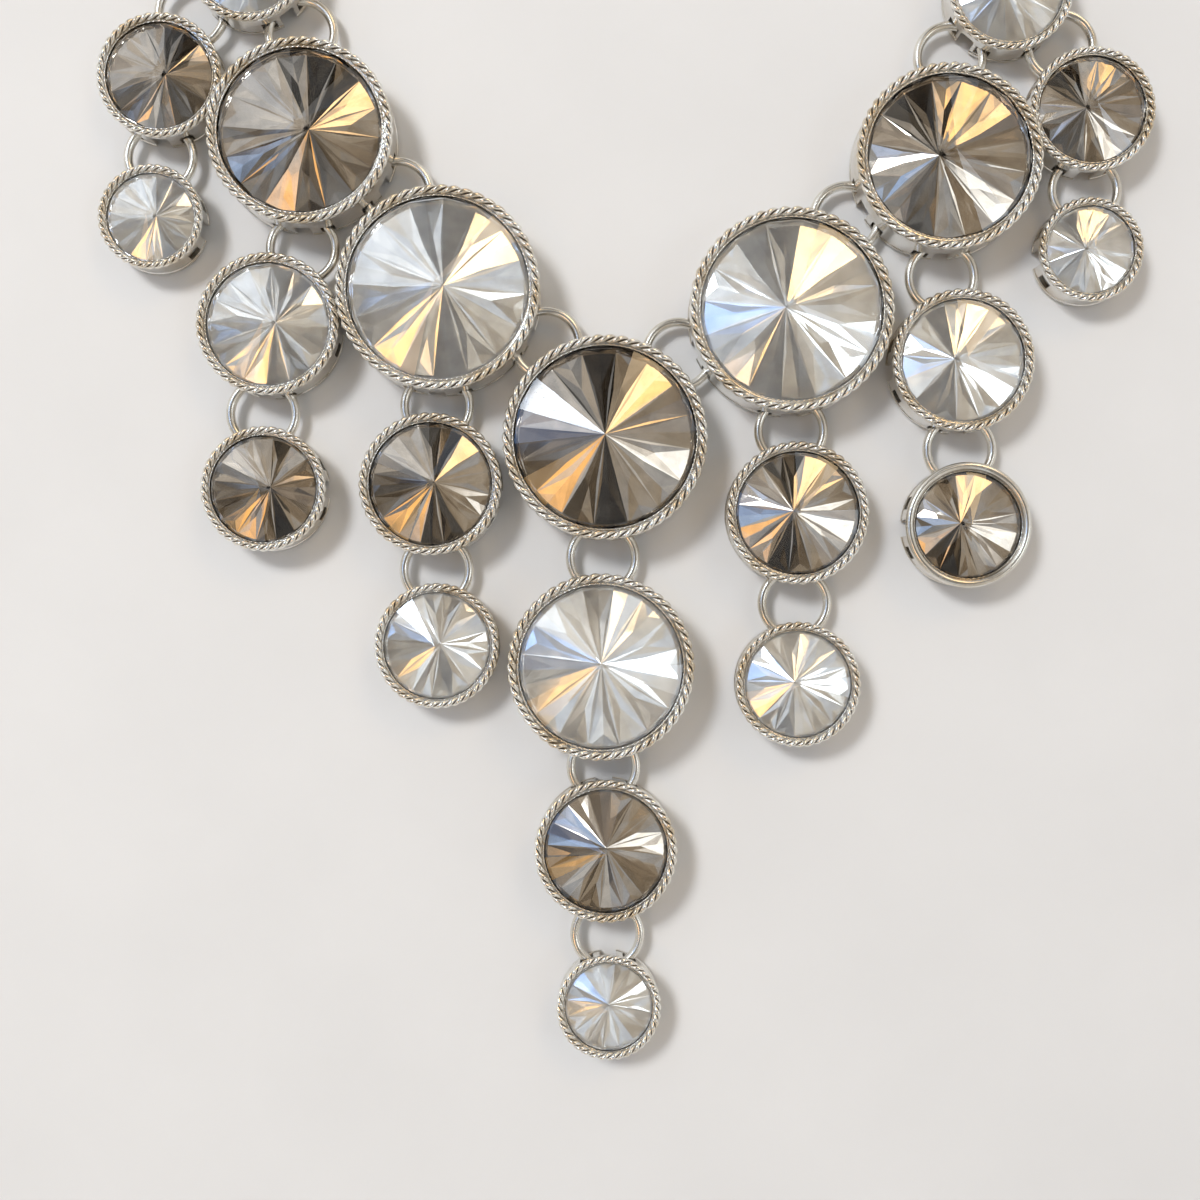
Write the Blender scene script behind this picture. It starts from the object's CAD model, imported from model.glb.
import math
import random

import bmesh
import bpy
from mathutils import Matrix, Vector


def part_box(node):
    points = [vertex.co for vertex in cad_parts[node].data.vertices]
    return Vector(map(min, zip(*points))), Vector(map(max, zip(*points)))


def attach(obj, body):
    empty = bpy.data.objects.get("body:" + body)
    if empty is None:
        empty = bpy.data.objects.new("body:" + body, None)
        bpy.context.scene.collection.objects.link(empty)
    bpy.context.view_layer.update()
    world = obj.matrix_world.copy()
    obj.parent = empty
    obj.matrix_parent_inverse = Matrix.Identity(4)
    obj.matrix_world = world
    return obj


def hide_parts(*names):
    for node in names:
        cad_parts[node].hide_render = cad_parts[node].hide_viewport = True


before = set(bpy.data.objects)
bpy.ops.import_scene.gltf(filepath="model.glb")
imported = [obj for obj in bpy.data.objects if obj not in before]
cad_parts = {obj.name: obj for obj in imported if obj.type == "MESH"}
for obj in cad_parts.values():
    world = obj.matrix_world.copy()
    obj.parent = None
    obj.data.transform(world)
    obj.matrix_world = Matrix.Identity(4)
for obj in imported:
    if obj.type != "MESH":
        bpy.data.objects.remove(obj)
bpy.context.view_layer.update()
scene = bpy.context.scene
mm = 0.001

# Sizes of each class of setting, in millimetres: radius of rim and of stone, height of the
# cup, radius of the rope's bundle, and how far apart its strands lie along the rim.
sizes = {
    "grand": {"rim": 15.2, "stone": 13.5, "height": 8.5, "rope": 0.71, "lay": 1.85},
    "large": {"rim": 13.9, "stone": 12.2, "height": 7.9, "rope": 0.69, "lay": 1.65},
    "medium": {"rim": 10.7, "stone": 9.2, "height": 6.5, "rope": 0.64, "lay": 1.5},
    "small": {"rim": 9.4, "stone": 8.0, "height": 5.9, "rope": 0.61, "lay": 1.35},
    "tip": {"rim": 7.9, "stone": 6.6, "height": 5.3, "rope": 0.58, "lay": 1.3},
}

# One row per setting: name, size, the setting it is linked to, bearing, gap between both
# rims and how far the ring stands aside (both as shares of the ring's radius), kind of
# crystal, turn of its facets in degrees, bearings of spare notches, kind of rim.
settings = [
    ("centre_0", "grand", None, 0, 0, 0, "smoky", 4, [], "rope"),
    ("centre_1", "large", "centre_0", 269, 0.970, 0, "clear", 2, [], "rope"),
    ("centre_2", "medium", "centre_1", 271.5, 0.576, 0, "smoky", 6, [], "rope"),
    ("centre_3", "tip", "centre_2", 271.1, 1.010, 0, "clear", 3, [], "rope"),
    ("left_1", "grand", "centre_0", 138.2, 0.545, -1.051, "clear", 8, [], "rope"),
    ("left_1a", "medium", "left_1", 267.4, 0.586, 0, "smoky", 1, [350], "rope"),
    ("left_1b", "small", "left_1a", 272.1, 0.808, 0, "clear", 5, [], "rope"),
    ("left_2", "large", "left_1", 131.2, 0.404, -1.051, "smoky", 7, [], "rope"),
    ("left_2a", "medium", "left_2", 259.9, 0.848, 0.444, "clear", 9, [4], "rope"),
    ("left_2b", "small", "left_2a", 268.2, 0.889, -0.242, "smoky", 2, [2], "rope"),
    ("left_3", "small", "left_2", 107.4, 0.848, -0.828, "clear", 0, [], "rope"),
    ("left_4a", "small", "left_3", 232.8, 0.606, -0.687, "smoky", 6, [355], "rope"),
    ("left_4b", "tip", "left_4a", 266, 0.747, 0, "clear", 4, [350], "rope"),
    ("right_1", "grand", "centre_0", 34.4, 0.606, 0.929, "clear", 5, [], "rope"),
    ("right_1a", "medium", "right_1", 272.2, 0.808, 0, "smoky", 3, [], "rope"),
    ("right_1b", "small", "right_1a", 270.3, 1.101, 0, "clear", 8, [], "rope"),
    ("right_2", "large", "right_1", 44.2, 0.717, 0.909, "smoky", 1, [], "rope"),
    ("right_2a", "medium", "right_2", 274.5, 1.091, -0.242, "clear", 6, [186], "rope"),
    ("right_2b", "small", "right_2a", 272.1, 0.889, 0, "smoky", 2, [182], "plain"),
    ("right_3", "small", "right_2", 69.5, 0.848, 0.909, "clear", 7, [], "rope"),
    ("right_4a", "small", "right_3", 304, 0.606, 0.586, "smoky", 4, [182], "rope"),
    ("right_4b", "tip", "right_4a", 270, 0.707, 0, "clear", 5, [185], "rope"),
]
settingKeys = ["name", "size", "on", "bearing", "gap", "aside", "crystal", "turn", "spare", "rimKind"]

# Rings, in millimetres, with the windows and notches that they need in a cup's wall.
ringValues = {"radius": 4.95, "wire": 1.35, "height": 2.0, "steps": 72, "sides": 18, "topReach": 2.0,
              "clearance": 0.32, "notchWidth": 2.5, "notchDepth": 3.6, "notchCut": 4, "notchInset": 0.4,
              "spareReach": 1.9}
topBearing = {"left_3": 100, "right_3": 82}  # where the chain's own rings stand


def unit(degrees):
    angle = math.radians(degrees)
    return Vector((math.cos(angle), math.sin(angle), 0))


# Where each setting stands and where each ring lies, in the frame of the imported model.
low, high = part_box("centre_0_cup")
origin = (low + high) / 2
origin.z = 0
placed = {}
rings = []
for values in settings:
    row = dict(zip(settingKeys, values))
    row.update(sizes[row["size"]])
    if row["on"]:
        parent = placed[row["on"]]
        along = unit(row["bearing"])
        across = Vector((-along.y, along.x, 0))
        gap, aside = row["gap"] * ringValues["radius"], row["aside"] * ringValues["radius"]
        row["centre"] = parent["centre"] + along * (parent["rim"] + gap + row["rim"])
        middle = parent["centre"] + along * (parent["rim"] + gap / 2) + across * aside
        rings.append({"name": f"link_{row['on']}_{row['name']}", "centre": middle,
                      "ends": [row["on"], row["name"]]})
    else:
        row["centre"] = origin / mm
    placed[row["name"]] = row
for name, bearing in topBearing.items():
    host = placed[name]
    rings.append({"name": f"link_{name}_chain", "ends": [name],
                  "centre": host["centre"] + unit(bearing) * (host["rim"] + ringValues["topReach"])})

# Camera: straight above the middle of the photograph's frame.
cameraValues = {"frameMm": 176.47, "distanceMm": 190.0, "rimHeightMm": 8.0, "sideMm": -0.735,
                "downMm": -23.97, "sensorMm": 36}
cameraData = bpy.data.cameras.new("camera")
cameraData.sensor_width = cameraValues["sensorMm"]
cameraData.lens = cameraValues["sensorMm"] * cameraValues["distanceMm"] / cameraValues["frameMm"]
cameraData.clip_start = 0.01
camera = bpy.data.objects.new("camera", cameraData)
camera.location = (origin.x + cameraValues["sideMm"] * mm, origin.y + cameraValues["downMm"] * mm,
                   (cameraValues["distanceMm"] + cameraValues["rimHeightMm"]) * mm)
scene.collection.objects.link(camera)
scene.camera = camera
print("camera set")


# Node helpers.
def newMaterial(name):
    material = bpy.data.materials.new(name)
    material.use_nodes = True
    nodes = material.node_tree.nodes
    links = material.node_tree.links
    shader = nodes["Principled BSDF"]
    coords = nodes.new("ShaderNodeTexCoord")
    return material, nodes, links, shader, coords


def noiseNode(nodes, links, coords, scale, detail, stretch=None):
    noise = nodes.new("ShaderNodeTexNoise")
    noise.inputs["Scale"].default_value = scale
    noise.inputs["Detail"].default_value = detail
    if stretch:
        mapping = nodes.new("ShaderNodeMapping")
        mapping.inputs["Scale"].default_value = stretch
        links.new(coords.outputs["Object"], mapping.inputs["Vector"])
        links.new(mapping.outputs["Vector"], noise.inputs["Vector"])
    else:
        links.new(coords.outputs["Object"], noise.inputs["Vector"])
    return noise


def rampNode(nodes, links, source, stops):
    ramp = nodes.new("ShaderNodeValToRGB")
    elements = ramp.color_ramp.elements
    while len(elements) < len(stops):
        elements.new(0.5)
    for element, (place, colour) in zip(elements, stops):
        element.position = place
        element.color = (*colour, 1)
    links.new(source, ramp.inputs["Fac"])
    return ramp


def rangeNode(nodes, links, source, fromLow, fromHigh, toLow, toHigh):
    node = nodes.new("ShaderNodeMapRange")
    for key, value in (("From Min", fromLow), ("From Max", fromHigh),
                       ("To Min", toLow), ("To Max", toHigh)):
        node.inputs[key].default_value = value
    links.new(source, node.inputs["Value"])
    return node


def bumpNode(nodes, links, height, strength, distance, before=None):
    bump = nodes.new("ShaderNodeBump")
    bump.inputs["Strength"].default_value = strength
    bump.inputs["Distance"].default_value = distance
    links.new(height, bump.inputs["Height"])
    if before:
        links.new(before.outputs["Normal"], bump.inputs["Normal"])
    return bump


# Silver: polished, with soft handling marks, fine scratches and a little warm tarnish. The
# first tone is clean metal, the second tarnished, and roughness ranges between two values.
silverValues = {
    "polished": {"tones": ((0.84, 0.82, 0.78), (0.68, 0.62, 0.53)), "rough": (0.13, 0.27), "scratch": 0.2},
    "rope": {"tones": ((0.98, 0.95, 0.88), (0.78, 0.67, 0.51)), "rough": (0.1, 0.22), "scratch": 0.2},
    "wire": {"tones": ((0.87, 0.84, 0.77), (0.7, 0.64, 0.54)), "rough": (0.21, 0.28), "scratch": 0.04},
    "groove": {"tones": ((0.12, 0.1, 0.08), (0.05, 0.04, 0.03)), "rough": (0.35, 0.6), "scratch": 0.3},
}
# Its wear: each noise with its waves to the metre, and depths in metres.
silverWear = {
    "blotch": {"scale": 160, "detail": 5}, "blotchStops": (0.35, 0.56),
    "grain": {"scale": 900, "detail": 6}, "grainRange": (0.3, 0.7),
    "scratches": {"scale": 1400, "detail": 3, "stretch": (1, 0.12, 0.6)}, "scratchDepth": 0.00003,
    "dents": {"scale": 420, "detail": 2}, "dentDepth": 0.00012,
}


def silverMaterial(kind):
    values = silverValues[kind]
    clean, tarnished = values["tones"]
    material, nodes, links, shader, coords = newMaterial(f"{kind}_silver")
    blotch = noiseNode(nodes, links, coords, **silverWear["blotch"])
    stops = list(zip(silverWear["blotchStops"], (tarnished, clean)))
    colour = rampNode(nodes, links, blotch.outputs["Fac"], stops)
    links.new(colour.outputs["Color"], shader.inputs["Base Color"])
    grain = noiseNode(nodes, links, coords, **silverWear["grain"])
    rough = rangeNode(nodes, links, grain.outputs["Fac"], *silverWear["grainRange"], *values["rough"])
    links.new(rough.outputs["Result"], shader.inputs["Roughness"])
    scratches = noiseNode(nodes, links, coords, **silverWear["scratches"])
    fine = bumpNode(nodes, links, scratches.outputs["Fac"], values["scratch"], silverWear["scratchDepth"])
    dents = noiseNode(nodes, links, coords, **silverWear["dents"])
    soft = bumpNode(nodes, links, dents.outputs["Fac"], values["scratch"], silverWear["dentDepth"], fine)
    links.new(soft.outputs["Normal"], shader.inputs["Normal"])
    shader.inputs["Metallic"].default_value = 1
    return material


silver = {kind: silverMaterial(kind) for kind in silverValues}


# Crystal: clear or smoky glass in front, mirror foil behind, with faint dust and wear.
# "mirror" is how far the foil reflects as metal does, the rest is its own pale tone. Below,
# each range turns noise, in its first two values, into roughness, in its last two.
crystalValues = {
    "clear": {"glass": (0.99, 0.985, 0.97), "foil": (0.985, 0.975, 0.945), "mirror": 0.57},
    "smoky": {"glass": (0.53, 0.475, 0.41), "foil": (0.8, 0.77, 0.73), "mirror": 0.96},
}
glassValues = {
    "ior": 1.25, "coatIor": 1.6,
    "dust": {"scale": 2600, "detail": 4}, "dustRange": (0.68, 0.76, 0, 0.14),
    "smear": {"scale": 1500, "detail": 5}, "smearRange": (0.52, 0.75, 0.02, 0.12),
}
foilValues = {
    "cloud": {"scale": 300, "detail": 4}, "cloudStops": (0.35, 0.6), "dullShare": 0.82,
    "grain": {"scale": 4200, "detail": 3}, "grainRange": (0.3, 0.75, 0.015, 0.04),
    "bump": 0.01, "bumpDepth": 0.00001,
}


def glassMaterial(kind):
    values = crystalValues[kind]
    material, nodes, links, shader, coords = newMaterial(f"{kind}_crystal_glass")
    shader.inputs["Base Color"].default_value = (*values["glass"], 1)
    shader.inputs["Transmission Weight"].default_value = 1
    shader.inputs["IOR"].default_value = glassValues["ior"]
    shader.inputs["Coat Weight"].default_value = 1
    shader.inputs["Coat IOR"].default_value = glassValues["coatIor"]
    dust = noiseNode(nodes, links, coords, **glassValues["dust"])
    specks = rangeNode(nodes, links, dust.outputs["Fac"], *glassValues["dustRange"])
    links.new(specks.outputs["Result"], shader.inputs["Roughness"])
    smear = noiseNode(nodes, links, coords, **glassValues["smear"])
    dulled = rangeNode(nodes, links, smear.outputs["Fac"], *glassValues["smearRange"])
    links.new(dulled.outputs["Result"], shader.inputs["Coat Roughness"])
    return material


def foilMaterial(kind):
    values = crystalValues[kind]
    material, nodes, links, shader, coords = newMaterial(f"{kind}_crystal_foil")
    cloud = noiseNode(nodes, links, coords, **foilValues["cloud"])
    dull = tuple(tone * foilValues["dullShare"] for tone in values["foil"])
    stops = list(zip(foilValues["cloudStops"], (dull, values["foil"])))
    colour = rampNode(nodes, links, cloud.outputs["Fac"], stops)
    links.new(colour.outputs["Color"], shader.inputs["Base Color"])
    shader.inputs["Metallic"].default_value = values["mirror"]
    grain = noiseNode(nodes, links, coords, **foilValues["grain"])
    rough = rangeNode(nodes, links, grain.outputs["Fac"], *foilValues["grainRange"])
    links.new(rough.outputs["Result"], shader.inputs["Roughness"])
    bump = bumpNode(nodes, links, grain.outputs["Fac"], foilValues["bump"], foilValues["bumpDepth"])
    links.new(bump.outputs["Normal"], shader.inputs["Normal"])
    return material


glass = {kind: glassMaterial(kind) for kind in crystalValues}
foil = {kind: foilMaterial(kind) for kind in crystalValues}
print("materials made")


# Geometry Nodes: a wire of round section that winds round a closed oval, for rope strands,
# toothed rims, rings and chain links.
def windingTree(name):
    tree = bpy.data.node_groups.new(name, "GeometryNodeTree")
    face = tree.interface
    face.new_socket("Geometry", in_out="OUTPUT", socket_type="NodeSocketGeometry")
    for key in ("Radius", "Straight", "Wind", "Turns", "Phase", "Height", "Wire"):
        face.new_socket(key, in_out="INPUT", socket_type="NodeSocketFloat")
    for key in ("Steps", "Sides"):
        face.new_socket(key, in_out="INPUT", socket_type="NodeSocketInt")
    face.new_socket("Material", in_out="INPUT", socket_type="NodeSocketMaterial")
    nodes, links = tree.nodes, tree.links
    source = nodes.new("NodeGroupInput")
    sink = nodes.new("NodeGroupOutput")

    def calc(operation, *values):
        node = nodes.new("ShaderNodeMath")
        node.operation = operation
        for socket, value in zip(node.inputs, values):
            if isinstance(value, (int, float)):
                socket.default_value = value
            else:
                links.new(value, socket)
        return node.outputs[0]

    circle = nodes.new("GeometryNodeMeshCircle")
    links.new(source.outputs["Steps"], circle.inputs["Vertices"])
    toCurve = nodes.new("GeometryNodeMeshToCurve")
    links.new(circle.outputs["Mesh"], toCurve.inputs["Mesh"])
    index = nodes.new("GeometryNodeInputIndex")
    given = source.outputs
    share = calc("DIVIDE", calc("ADD", index.outputs[0], 0.5), given["Steps"])
    around = calc("MULTIPLY", share, 2 * math.pi)
    twist = calc("ADD", calc("MULTIPLY", around, given["Turns"]), given["Phase"])
    reach = calc("ADD", given["Radius"], calc("MULTIPLY", given["Wind"], calc("COSINE", twist)))
    side = calc("SIGN", calc("COSINE", around))
    x = calc("ADD", calc("MULTIPLY", reach, calc("COSINE", around)),
             calc("MULTIPLY", side, given["Straight"]))
    y = calc("MULTIPLY", reach, calc("SINE", around))
    z = calc("ADD", given["Height"], calc("MULTIPLY", given["Wind"], calc("SINE", twist)))
    combine = nodes.new("ShaderNodeCombineXYZ")
    for axis, value in zip("XYZ", (x, y, z)):
        links.new(value, combine.inputs[axis])
    move = nodes.new("GeometryNodeSetPosition")
    links.new(toCurve.outputs["Curve"], move.inputs["Geometry"])
    links.new(combine.outputs["Vector"], move.inputs["Position"])
    section = nodes.new("GeometryNodeCurvePrimitiveCircle")
    links.new(source.outputs["Sides"], section.inputs["Resolution"])
    links.new(source.outputs["Wire"], section.inputs["Radius"])
    sweep = nodes.new("GeometryNodeCurveToMesh")
    links.new(move.outputs["Geometry"], sweep.inputs["Curve"])
    links.new(section.outputs["Curve"], sweep.inputs["Profile Curve"])
    smooth = nodes.new("GeometryNodeSetShadeSmooth")
    links.new(sweep.outputs["Mesh"], smooth.inputs[0])
    realize = nodes.new("GeometryNodeRealizeInstances")
    links.new(smooth.outputs[0], realize.inputs[0])
    paint = nodes.new("GeometryNodeSetMaterial")
    links.new(realize.outputs[0], paint.inputs["Geometry"])
    links.new(source.outputs["Material"], paint.inputs["Material"])
    links.new(paint.outputs["Geometry"], sink.inputs["Geometry"])
    return tree


# Geometry Nodes: oval links set on the points of a mesh, each turned by its own attribute.
linkDetail = {"Steps": 64, "Sides": 14}


def chainTree(name, winding):
    tree = bpy.data.node_groups.new(name, "GeometryNodeTree")
    face = tree.interface
    face.new_socket("Geometry", in_out="INPUT", socket_type="NodeSocketGeometry")
    face.new_socket("Geometry", in_out="OUTPUT", socket_type="NodeSocketGeometry")
    keys = [("Radius", "NodeSocketFloat"), ("Straight", "NodeSocketFloat"), ("Wire", "NodeSocketFloat"),
            ("Material", "NodeSocketMaterial")]
    for key, kind in keys:
        face.new_socket(key, in_out="INPUT", socket_type=kind)
    nodes, links = tree.nodes, tree.links
    source = nodes.new("NodeGroupInput")
    sink = nodes.new("NodeGroupOutput")
    link = nodes.new("GeometryNodeGroup")
    link.node_tree = winding
    for key, _ in keys:
        links.new(source.outputs[key], link.inputs[key])
    for key, value in linkDetail.items():
        link.inputs[key].default_value = value
    turn = nodes.new("GeometryNodeInputNamedAttribute")
    turn.data_type = "FLOAT_VECTOR"
    turn.inputs["Name"].default_value = "turn"
    place = nodes.new("GeometryNodeInstanceOnPoints")
    links.new(source.outputs["Geometry"], place.inputs["Points"])
    links.new(link.outputs["Geometry"], place.inputs["Instance"])
    links.new(turn.outputs["Attribute"], place.inputs["Rotation"])
    realize = nodes.new("GeometryNodeRealizeInstances")
    links.new(place.outputs["Instances"], realize.inputs[0])
    paint = nodes.new("GeometryNodeSetMaterial")
    links.new(realize.outputs[0], paint.inputs["Geometry"])
    links.new(source.outputs["Material"], paint.inputs["Material"])
    links.new(paint.outputs["Geometry"], sink.inputs["Geometry"])
    return tree


winding = windingTree("winding_wire")
chainLinks = chainTree("chain_links", winding)


# What a piece looks like with its modifiers, as a mesh of its own.
def finishedMesh(piece):
    bpy.context.view_layer.update()
    shown = piece.evaluated_get(bpy.context.evaluated_depsgraph_get())
    return bpy.data.meshes.new_from_object(shown)


def applyModifier(piece, modifier):
    result = finishedMesh(piece)
    piece.modifiers.remove(modifier)
    piece.data = result


# Cuts one closed mesh, set in place by a transform, out of a piece.
def cutAway(piece, cutter, matrix):
    tool = bpy.data.objects.new("tool", cutter)
    tool.matrix_world = matrix
    scene.collection.objects.link(tool)
    cut = piece.modifiers.new("cut", "BOOLEAN")
    cut.operation = "DIFFERENCE"
    cut.solver = "EXACT"
    cut.object = tool
    applyModifier(piece, cut)
    bpy.data.objects.remove(tool)


def nodeMesh(tree, values, start=None):
    holder = bpy.data.objects.new("holder", start or bpy.data.meshes.new("holder"))
    scene.collection.objects.link(holder)
    modifier = holder.modifiers.new("nodes", "NODES")
    modifier.node_group = tree
    for item in tree.interface.items_tree:
        if item.in_out == "INPUT" and item.name in values:
            modifier[item.identifier] = values[item.name]
    holder.update_tag()
    mesh = finishedMesh(holder)
    holder.modifiers.remove(modifier)
    bpy.data.objects.remove(holder)
    return mesh


# A wire from the winding tree, with its lengths given in millimetres.
def windingMesh(material, **values):
    full = {"Radius": 0, "Straight": 0, "Wind": 0, "Turns": 0.0, "Phase": 0.0, "Height": 0, "Wire": 0,
            "Steps": 64, "Sides": 12, "Material": material}
    full.update(values)
    for key in ("Radius", "Straight", "Wind", "Height", "Wire"):
        full[key] = float(full[key]) * mm
    return nodeMesh(winding, full)


# Puts meshes, each with a transform, into one mesh that keeps their materials.
def joinMeshes(name, parts):
    whole = bmesh.new()
    materials = []
    for mesh, matrix in parts:
        offset = {}
        for index, material in enumerate(mesh.materials):
            if material not in materials:
                materials.append(material)
            offset[index] = materials.index(material)
        piece = bmesh.new()
        piece.from_mesh(mesh)
        piece.transform(matrix)
        for f in piece.faces:
            f.material_index = offset.get(f.material_index, 0)
        moved = bpy.data.meshes.new("moved")
        piece.to_mesh(moved)
        piece.free()
        whole.from_mesh(moved)
        bpy.data.meshes.remove(moved)
    mesh = bpy.data.meshes.new(name)
    whole.to_mesh(mesh)
    whole.free()
    for material in materials:
        mesh.materials.append(material)
    return mesh


def addPiece(name, mesh, node):
    piece = bpy.data.objects.new(name, mesh)
    scene.collection.objects.link(piece)
    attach(piece, "root")
    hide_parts(node)
    return piece


def smoothByAngle(mesh, degrees):
    for polygon in mesh.polygons:
        polygon.use_smooth = True
    shape = bmesh.new()
    shape.from_mesh(mesh)
    limit = math.radians(degrees)
    for edge in shape.edges:
        edge.smooth = len(edge.link_faces) == 2 and edge.calc_face_angle(0) < limit
    shape.to_mesh(mesh)
    shape.free()


# A ring turned about Z from a closed profile of radius and height in millimetres.
def turnedMesh(name, profile, segments, material, smoothAngle=35):
    shape = bmesh.new()
    rows = []
    for i in range(segments):
        angle = 2 * math.pi * i / segments
        x, y = mm * math.cos(angle), mm * math.sin(angle)
        rows.append([shape.verts.new((r * x, r * y, z * mm)) for r, z in profile])
    count = len(profile)
    for i in range(segments):
        here, there = rows[i], rows[(i + 1) % segments]
        for k in range(count):
            shape.faces.new((here[k], there[k], there[(k + 1) % count], here[(k + 1) % count]))
    bmesh.ops.recalc_face_normals(shape, faces=shape.faces)
    mesh = bpy.data.meshes.new(name)
    shape.to_mesh(mesh)
    shape.free()
    mesh.materials.append(material)
    smoothByAngle(mesh, smoothAngle)
    return mesh


# Stone: sixteen facets to a point in front and behind, the back ones half a facet on, and
# a mirror close under the front, broken into shards, that gives it its wedges of light.
# Its lengths are shares of the stone's radius, apart from "sink", the millimetres that the
# mirror's edge lies under the girdle. The mirror's point leans towards the middle stone, by
# the shares of "lean" for each millimetre away.
stoneValues = {"facets": 16, "crown": 0.29, "girdle": 0.08, "pavilion": 0.4, "mirror": 0.34,
               "inset": 0.985, "sink": 0.02, "shards": [0.007, 0.003], "lean": (0.0036, 0.0015),
               "mostLean": 0.2}


# Cup: turned wall with rolled back edge, ledge under the rope and a lip against the stone,
# then windows and notches cut where rings pass. Its profile, in millimetres, runs from the
# foot's inner edge up the outside, over the rope's seat and down to the stone's shelf.
cupValues = {"overhang": 0.3, "wall": 0.75, "seatDrop": 1.6, "lip": 0.16, "stoneDrop": 0.8,
             "segments": 112, "channelSegments": 40, "smooth": 32}


def cupProfile(row):
    stone, height, rope = row["stone"], row["height"], row["rope"]
    wall = row["rim"] - cupValues["overhang"]
    inner = wall - cupValues["wall"]
    lip = stone + cupValues["lip"]
    neck = height - 2 * rope
    seat = row["rim"] - rope
    girdle = height - cupValues["stoneDrop"] - stoneValues["girdle"] * stone
    return [
        (inner, 0.12), (inner + 0.12, 0), (wall - 0.14, 0), (wall, 0.14), (wall, 0.7), (wall - 0.1, 0.82),
        (wall - 0.1, neck - 0.55), (wall, neck - 0.4), (wall, neck - 0.05), (wall - 0.25, neck + 0.15),
        (seat - 0.1, height - rope - 0.2), (seat - rope * 0.8, height - rope * 1.3),
        (lip, height - rope * 1.4), (lip, girdle - 0.1), (stone - 0.55, girdle - 0.5),
        (stone - 0.6, girdle - 0.9), (inner, girdle - cupValues["seatDrop"]),
    ]


# A flat ring that cuts the windows which a round ring passes through.
def channelMesh():
    reach = ringValues["wire"] / 2 + ringValues["clearance"]
    inside, outside = ringValues["radius"] - reach, ringValues["radius"] + reach
    low, high = ringValues["height"] - reach, ringValues["height"] + reach
    corners = [(inside, low), (outside, low), (outside, high), (inside, high)]
    return turnedMesh("channel", corners, cupValues["channelSegments"], silver["polished"])


# A block that cuts the notch between two windows, up from the cup's foot.
def notchMesh(wall):
    size = Vector((ringValues["notchCut"], ringValues["notchWidth"], 2 * ringValues["notchDepth"])) * mm
    shape = bmesh.new()
    bmesh.ops.create_cube(shape, size=1)
    bmesh.ops.scale(shape, vec=size, verts=shape.verts)
    bmesh.ops.translate(shape, vec=((wall - ringValues["notchInset"]) * mm, 0, 0), verts=shape.verts)
    notch = bpy.data.meshes.new("notch")
    shape.to_mesh(notch)
    shape.free()
    notch.materials.append(silver["polished"])
    return notch


def cupBody(row):
    mesh = turnedMesh(f"{row['name']}_cup_body", cupProfile(row), cupValues["segments"], silver["polished"])
    body = bpy.data.objects.new("body", mesh)
    scene.collection.objects.link(body)
    stations = [ring["centre"] - row["centre"] for ring in rings if row["name"] in ring["ends"]]
    stations += [unit(bearing) * (row["rim"] + ringValues["spareReach"]) for bearing in row["spare"]]
    for offset in stations:
        cutAway(body, channelMesh(), Matrix.Translation(offset * mm))
        cutAway(body, notchMesh(row["rim"] - cupValues["overhang"]),
                Matrix.Rotation(math.atan2(offset.y, offset.x), 4, "Z"))
    result = body.data
    bpy.data.objects.remove(body)
    smoothByAngle(result, cupValues["smooth"])
    return result


# Rim: strands of wire twisted into a rope over a dark core, and a fine milled wire against
# the stone. The rope's shares are of its bundle's radius, the milled wire's place, wind and
# wire are shares of the gap between rope and stone, and "teeth" is to the millimetre.
rimValues = {"strands": 2, "strandShare": 0.53, "coreShare": 0.54, "coreSides": 12,
             "stepsPerTurn": 16, "strandSides": 8, "plainSteps": 96, "plainSides": 20}
millValues = {"teeth": 1.3, "drop": 0.62, "place": 0.36, "wind": 0.1, "wire": 0.34,
              "stepsPerTooth": 6, "sides": 6}


def ropeMesh(row):
    rope, strands = row["rope"], rimValues["strands"]
    wire = rope * rimValues["strandShare"]
    radius = row["rim"] - rope
    height = row["height"] - rope
    turns = round(2 * math.pi * radius / (strands * row["lay"]))
    steps = turns * rimValues["stepsPerTurn"]
    parts = []
    for i in range(strands):
        strand = windingMesh(silver["rope"], Radius=radius, Wind=rope - wire, Turns=float(turns),
                             Phase=2 * math.pi * i / strands, Height=height, Wire=wire,
                             Steps=steps, Sides=rimValues["strandSides"])
        parts.append((strand, Matrix.Identity(4)))
    core = windingMesh(silver["groove"], Radius=radius, Height=height, Wire=rope * rimValues["coreShare"],
                       Steps=rimValues["plainSteps"], Sides=rimValues["coreSides"])
    parts.append((core, Matrix.Identity(4)))
    return joinMeshes(f"{row['name']}_rope", parts)


def plainRimMesh(row):
    rope = row["rope"]
    return windingMesh(silver["wire"], Radius=row["rim"] - rope, Height=row["height"] - rope, Wire=rope,
                       Steps=rimValues["plainSteps"], Sides=rimValues["plainSides"])


def millMesh(row):
    margin = row["rim"] - 2 * row["rope"] - row["stone"]
    radius = row["stone"] + margin * millValues["place"]
    teeth = round(2 * math.pi * radius * millValues["teeth"])
    return windingMesh(silver["rope"], Radius=radius, Wind=margin * millValues["wind"], Turns=float(teeth),
                       Height=row["height"] - millValues["drop"], Wire=margin * millValues["wire"],
                       Steps=teeth * millValues["stepsPerTooth"], Sides=millValues["sides"])


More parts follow.
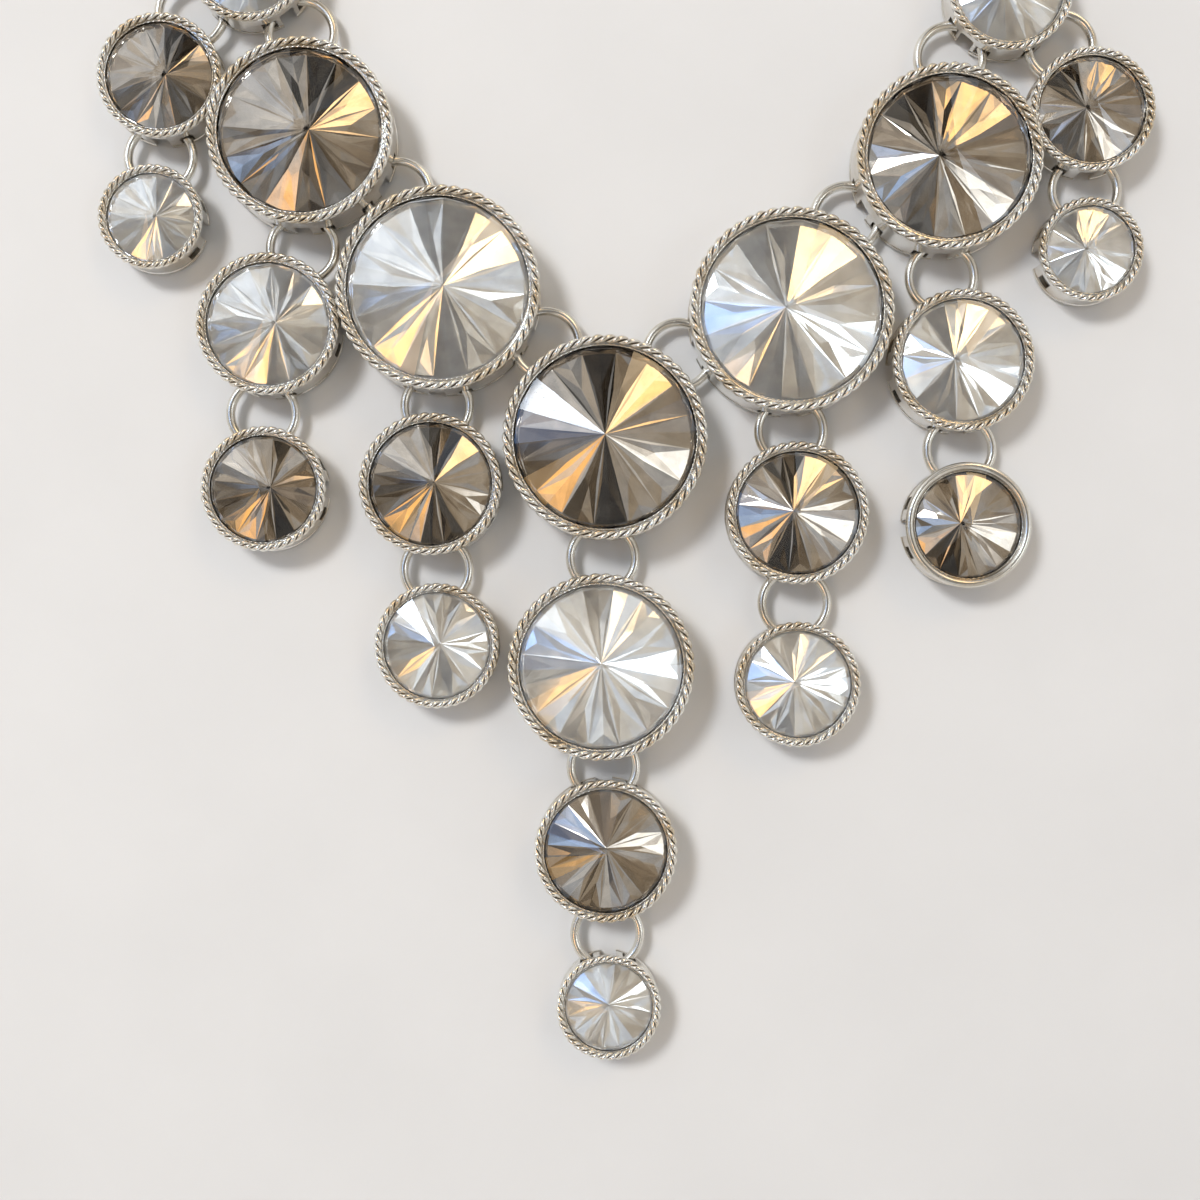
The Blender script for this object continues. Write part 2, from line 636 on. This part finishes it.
def stoneMesh(row):
    count = stoneValues["facets"]
    radius = row["stone"]
    top = row["height"] - cupValues["stoneDrop"]
    foot = top - stoneValues["girdle"] * radius
    shape = bmesh.new()
    turn = math.radians(row["turn"])

    def ringAt(r, z, shift):
        angles = [turn + 2 * math.pi * (i + shift) / count for i in range(count)]
        return [shape.verts.new((r * mm * math.cos(angle), r * mm * math.sin(angle), z * mm))
                for angle in angles]

    apex = shape.verts.new((0, 0, (top + stoneValues["crown"] * radius) * mm))
    culet = shape.verts.new((0, 0, (foot - stoneValues["pavilion"] * radius) * mm))
    upper = ringAt(radius, top, 0)
    lower = ringAt(radius, foot, 0.5)
    front, back = [], []
    for i in range(count):
        j = (i + 1) % count
        front.append(shape.faces.new((apex, upper[i], upper[j])))
        front.append(shape.faces.new((upper[i], lower[i], upper[j])))
        front.append(shape.faces.new((upper[j], lower[i], lower[j])))
        back.append(shape.faces.new((culet, lower[j], lower[i])))
    away = placed["centre_0"]["centre"] - row["centre"]
    lean = Vector((away.x * stoneValues["lean"][0], away.y * stoneValues["lean"][1], 0))
    if lean.length > stoneValues["mostLean"]:
        lean *= stoneValues["mostLean"] / lean.length
    tipHeight = foot + (stoneValues["mirror"] - stoneValues["crown"] * lean.length) * radius
    mirrorTip = shape.verts.new((lean.x * radius * mm, lean.y * radius * mm, tipHeight * mm))
    mirror = ringAt(radius * stoneValues["inset"], foot - stoneValues["sink"], 0.5)
    shards = [shape.faces.new((mirrorTip, mirror[i], mirror[(i + 1) % count])) for i in range(count)]
    chance = random.Random(int(row["turn"] * 100 + radius * 10))
    for share in stoneValues["shards"]:
        poked = bmesh.ops.poke(shape, faces=shards)
        shards = poked["faces"]
        for vert in poked["verts"]:
            vert.co.z += chance.uniform(-share, share) * radius * mm
    back += shards
    bmesh.ops.recalc_face_normals(shape, faces=shape.faces)
    for f in back:
        f.material_index = 1
    mesh = bpy.data.meshes.new(f"{row['name']}_crystal")
    shape.to_mesh(mesh)
    shape.free()
    mesh.materials.append(glass[row["crystal"]])
    mesh.materials.append(foil[row["crystal"]])
    return mesh


outerDrops = {"left_4a": "outer_drop_left", "left_4b": "outer_drop_left",
              "right_4a": "outer_drop_right", "right_4b": "outer_drop_right"}
for row in placed.values():
    name = row["name"]
    cupNode = outerDrops.get(name, f"{name}_cup")
    stoneNode = outerDrops.get(name, f"{name}_stone")
    place = Matrix.Translation(row["centre"] * mm)
    body = cupBody(row)
    rim = ropeMesh(row) if row["rimKind"] == "rope" else plainRimMesh(row)
    mill = millMesh(row)
    stone = stoneMesh(row)
    for mesh in (body, rim, mill, stone):
        mesh.transform(place)
    addPiece(f"{name}_cup_body", body, cupNode)
    addPiece(f"{name}_rim", rim, cupNode)
    addPiece(f"{name}_milled_edge", mill, cupNode)
    addPiece(f"{name}_crystal", stone, stoneNode)
print("settings made")

# Rings between the settings.
chainNodes = {"link_left_3_chain": "chain_left", "link_right_3_chain": "chain_right"}
for ring in rings:
    mesh = windingMesh(silver["wire"], Radius=ringValues["radius"], Wire=ringValues["wire"] / 2,
                       Height=ringValues["height"], Steps=ringValues["steps"], Sides=ringValues["sides"])
    mesh.transform(Matrix.Translation(ring["centre"] * mm))
    node = chainNodes.get(ring["name"])
    if node is None:
        outer = [outerDrops[end] for end in ring["ends"] if end in outerDrops]
        node = outer[0] if outer else ring["name"]
    addPiece(f"{ring['name']}_wire", mesh, node)
print("rings made")

# Neck chain: the route's points and sizes as in the solids, in millimetres and degrees.
# "divisions" are samples along the route, "reach" how many of them either side give a link
# its direction.
chainValues = {"wire": 1.5, "width": 8.0, "length": 13.4, "tilt": 45, "bite": 0.14, "ringBite": 0.55,
               "divisions": 3000, "reach": 3}
claspValues = {"length": 24, "width": 9.6, "thickness": 1.8, "hole": 2.6, "inset": 4.8, "bevel": 0.35,
               "bevelSteps": 3, "segments": 64, "eyeSegments": 48, "eyeDepth": 10, "smooth": 40}
chainRoute = {"left_3": [(-61, 112), (-50, 153)], "right_3": [(65, 110), (56, 152)]}
claspMiddle = Vector((5, 177, 0)) + origin / mm


# Points along a centripetal curve through the given points.
def routeCurve(points, divisions):
    spans = len(points) - 1
    samples = []
    for step in range(divisions + 1):
        place = step / divisions * spans
        i = min(int(place), spans - 1)
        t = place - i
        b, c = points[i], points[i + 1]
        a = points[i - 1] if i > 0 else b * 2 - c
        d = points[i + 2] if i + 2 <= spans else c * 2 - b
        dt0, dt1, dt2 = (math.sqrt((q - p).length) for p, q in ((a, b), (b, c), (c, d)))
        t1 = ((b - a) / dt0 - (c - a) / (dt0 + dt1) + (c - b) / dt1) * dt1
        t2 = ((c - b) / dt1 - (d - b) / (dt1 + dt2) + (d - c) / dt2) * dt1
        square = -3 * b + 3 * c - 2 * t1 - t2
        cube = 2 * b - 2 * c + t1 + t2
        samples.append(b + t1 * t + square * t * t + cube * t ** 3)
    return samples


# Height of the chain's middle line: its links lean both ways and touch the floor by one edge.
def linkHeight():
    wire = chainValues["wire"]
    return (chainValues["width"] - wire) / 2 * math.sin(math.radians(chainValues["tilt"])) + wire / 2


for host, route in chainRoute.items():
    ring = next(r for r in rings if r["name"] == f"link_{host}_chain")
    sign = -1 if host == "left_3" else 1
    end = claspMiddle + Vector((sign * (claspValues["length"] / 2 - claspValues["inset"]), 0, 0))
    points = [ring["centre"], *[Vector((x, y, 0)) + origin / mm for x, y in route], end]
    samples = routeCurve(points, chainValues["divisions"])
    lengths = [0.0]
    for p, q in zip(samples, samples[1:]):
        lengths.append(lengths[-1] + (q - p).length)
    total = lengths[-1]
    wire, bite = chainValues["wire"], chainValues["bite"]
    inRing = ringValues["radius"] - ringValues["wire"] / 2 + chainValues["ringBite"]
    count = round((total - inRing) / (chainValues["length"] - 2 * wire + bite))
    length = (total - inRing + wire * 1.5 + (count - 1) * (2 * wire - bite)) / count
    step = length - 2 * wire + bite
    seeds = bpy.data.meshes.new("seeds")
    spots, turns = [], []
    for i in range(count):
        wanted = inRing + length / 2 - wire + i * step
        k = next(n for n, value in enumerate(lengths) if value >= wanted)
        along = samples[min(k + chainValues["reach"], len(samples) - 1)]
        along = along - samples[max(k - chainValues["reach"], 0)]
        spots.append(Vector((samples[k].x, samples[k].y, linkHeight())) * mm)
        lean = math.radians(-chainValues["tilt"] if i % 2 else chainValues["tilt"])
        turns += [lean, 0.0, math.atan2(along.y, along.x)]
    seeds.from_pydata(spots, [], [])
    seeds.attributes.new("turn", "FLOAT_VECTOR", "POINT").data.foreach_set("vector", turns)
    mesh = nodeMesh(chainLinks, {"Radius": (chainValues["width"] - wire) / 2 * mm,
                                 "Straight": (length - chainValues["width"]) / 2 * mm,
                                 "Wire": wire / 2 * mm, "Material": silver["wire"]}, seeds)
    addPiece(f"neck_chain_{'left' if sign < 0 else 'right'}", mesh,
             chainNodes[f"link_{host}_chain"])
print("chains made")

# Clasp: a plain rounded plate with an eye at each end.
def plateMesh():
    half = (claspValues["length"] - claspValues["width"]) / 2
    low = linkHeight() - claspValues["thickness"] / 2
    shape = bmesh.new()
    base = []
    for i in range(claspValues["segments"]):
        angle = 2 * math.pi * (i + 0.5) / claspValues["segments"]
        x = claspValues["width"] / 2 * math.cos(angle) + math.copysign(half, math.cos(angle))
        y = claspValues["width"] / 2 * math.sin(angle)
        base.append(shape.verts.new((x * mm, y * mm, low * mm)))
    shape.faces.new(base)
    top = bmesh.ops.extrude_face_region(shape, geom=list(shape.faces))
    bmesh.ops.translate(shape, vec=(0, 0, claspValues["thickness"] * mm),
                        verts=[v for v in top["geom"] if isinstance(v, bmesh.types.BMVert)])
    bmesh.ops.recalc_face_normals(shape, faces=shape.faces)
    plate = bpy.data.meshes.new("clasp_plate")
    shape.to_mesh(plate)
    shape.free()
    plate.materials.append(silver["polished"])
    return plate


def eyeMesh():
    shape = bmesh.new()
    bmesh.ops.create_cone(shape, cap_ends=True, segments=claspValues["eyeSegments"],
                          radius1=claspValues["hole"] * mm, radius2=claspValues["hole"] * mm,
                          depth=claspValues["eyeDepth"] * mm)
    eye = bpy.data.meshes.new("eye")
    shape.to_mesh(eye)
    shape.free()
    return eye


plate = bpy.data.objects.new("plate", plateMesh())
scene.collection.objects.link(plate)
for sign in (-1, 1):
    eyeX = sign * (claspValues["length"] / 2 - claspValues["inset"]) * mm
    cutAway(plate, eyeMesh(), Matrix.Translation((eyeX, 0, linkHeight() * mm)))
bevel = plate.modifiers.new("bevel", "BEVEL")
bevel.width = claspValues["bevel"] * mm
bevel.segments = claspValues["bevelSteps"]
bevel.limit_method = "ANGLE"
applyModifier(plate, bevel)
claspMesh = plate.data
bpy.data.objects.remove(plate)
claspMesh.transform(Matrix.Translation(claspMiddle * mm))
smoothByAngle(claspMesh, claspValues["smooth"])
addPiece("clasp_plate", claspMesh, "clasp")
print("clasp made")

# Floor: pale and plain, wide enough to end in a level line when seen from low down. In
# metres: half its width, and how far it lies under the part.
floorValues = {"half": 12, "drop": 0.0003, "rough": 0.8, "cloud": {"scale": 30, "detail": 4},
               "tones": [(0.3, (0.72, 0.718, 0.715)), (0.7, (0.75, 0.748, 0.745))]}
corners = [Vector((x, y, 0)) * floorValues["half"] for x, y in ((-1, -1), (1, -1), (1, 1), (-1, 1))]
floorMesh = bpy.data.meshes.new("floor")
floorMesh.from_pydata(corners, [], [(0, 1, 2, 3)])
floorMaterial, nodes, links, shader, coords = newMaterial("pale_floor")
tone = noiseNode(nodes, links, coords, **floorValues["cloud"])
floorColour = rampNode(nodes, links, tone.outputs["Fac"], floorValues["tones"])
links.new(floorColour.outputs["Color"], shader.inputs["Base Color"])
shader.inputs["Roughness"].default_value = floorValues["rough"]
floorMesh.materials.append(floorMaterial)
floor = bpy.data.objects.new("floor", floorMesh)
floor.location = (0, 0, -floorValues["drop"])
scene.collection.objects.link(floor)
print("floor made")

# Light: a soft room, darker overhead, with a bright cool window at the upper left and warm
# lamps. Each patch: azimuth, elevation, half width, softness, colour. A dark is the same with
# the share of light that it leaves. "rise" is where, upwards, the horizon's tone gives way.
lightValues = {
    "sky": [(0.0, (0.35, 0.35, 0.35)), (0.35, (0.8, 0.8, 0.8)), (0.9, (1.0, 1.0, 1.0)),
            (0.96, (0.3, 0.3, 0.3)), (1.0, (0.22, 0.22, 0.22))],
    "room": [(0.32, (0.1, 0.08, 0.055)), (0.41, (0.46, 0.38, 0.28)), (0.49, (0.74, 0.68, 0.58)),
             (0.56, (0.7, 0.79, 0.93)), (0.66, (1.2, 1.27, 1.34))],
    "roomScale": 3.9,
    "roomDetail": 1,
    "rise": (0.3, 0.52),
    "patches": [
        (140, 54, 4, 1, (12.5, 14.0, 16.0)),
        (351, 50, 5, 3, (2.4, 2.7, 3.0)),
        (58, 42, 7, 4, (3.4, 2.15, 0.72)),
        (216, 56, 5, 4, (2.4, 1.3, 0.35)),
        (166, 57, 6, 4, (0.7, 1.15, 2.1)),
        (140, 34, 15, 14, (0.35, 0.38, 0.42)),
    ],
    "darks": [(270, 60, 8, 5, 0.1), (94, 38, 10, 5, 0.12), (180, 48, 12, 8, 0.5)],
    "horizon": (0.62, 0.61, 0.6),
    "key": {"azimuth": 140, "elevation": 54, "distance": 1.2, "size": 0.3, "power": 7,
            "colour": (1.0, 0.98, 0.95), "aimAt": (0, -0.05, 0)},
}
world = bpy.data.worlds.new("room")
scene.world = world
world.use_nodes = True
nodes, links = world.node_tree.nodes, world.node_tree.links
nodes.clear()


# A vector maths node of the world; each value is a socket to read from, or a fixed vector.
def worldMath(operation, *values):
    node = nodes.new("ShaderNodeVectorMath")
    node.operation = operation
    for socket, value in zip(node.inputs, values):
        if isinstance(value, bpy.types.NodeSocket):
            links.new(value, socket)
        else:
            socket.default_value = value
    return node


def scaled(value, factor):
    node = worldMath("SCALE", value)
    links.new(factor, node.inputs["Scale"])
    return node.outputs["Vector"]


def towards(azimuth, elevation):
    height = math.radians(elevation)
    return unit(azimuth) * math.cos(height) + Vector((0, 0, math.sin(height)))


direction = nodes.new("ShaderNodeTexCoord").outputs["Generated"]


# A soft disc of the room: its edge and its middle get the two values given.
def patchMask(azimuth, elevation, width, soft, edge=0, middle=1):
    dot = worldMath("DOT_PRODUCT", direction, towards(azimuth, elevation))
    outer, inner = math.cos(math.radians(width + soft)), math.cos(math.radians(width))
    return rangeNode(nodes, links, dot.outputs["Value"], outer, inner, edge, middle).outputs["Result"]


split = nodes.new("ShaderNodeSeparateXYZ")
links.new(direction, split.inputs[0])
sky = rampNode(nodes, links, split.outputs["Z"], lightValues["sky"])
roomNoise = nodes.new("ShaderNodeTexNoise")
roomNoise.inputs["Scale"].default_value = lightValues["roomScale"]
roomNoise.inputs["Detail"].default_value = lightValues["roomDetail"]
links.new(direction, roomNoise.inputs["Vector"])
room = rampNode(nodes, links, roomNoise.outputs["Fac"], lightValues["room"])
product = worldMath("MULTIPLY", sky.outputs["Color"], room.outputs["Color"])
rise = rangeNode(nodes, links, split.outputs["Z"], *lightValues["rise"], 0, 1)
blend = nodes.new("ShaderNodeMix")
blend.data_type = "VECTOR"
blend.inputs[4].default_value = lightValues["horizon"]
links.new(rise.outputs["Result"], blend.inputs[0])
links.new(product.outputs["Vector"], blend.inputs[5])
total = blend.outputs[1]
for *place, share in lightValues["darks"]:
    total = scaled(total, patchMask(*place, 1, share))
for *place, colour in lightValues["patches"]:
    total = worldMath("ADD", total, scaled(colour, patchMask(*place))).outputs["Vector"]
background = nodes.new("ShaderNodeBackground")
links.new(total, background.inputs["Color"])
output = nodes.new("ShaderNodeOutputWorld")
links.new(background.outputs["Background"], output.inputs["Surface"])

# One lamp in the window's place, for soft shadows alone.
keyValues = lightValues["key"]
keyData = bpy.data.lights.new("key", "AREA")
keyData.shape = "DISK"
keyData.size = keyValues["size"]
keyData.energy = keyValues["power"]
keyData.color = keyValues["colour"]
key = bpy.data.objects.new("key", keyData)
aim = towards(keyValues["azimuth"], keyValues["elevation"])
key.location = Vector(keyValues["aimAt"]) + aim * keyValues["distance"]
key.rotation_euler = aim.to_track_quat("Z", "Y").to_euler()
key.visible_glossy = False
key.visible_transmission = False
scene.collection.objects.link(key)
scene.view_settings.view_transform = "Standard"
print("light made")
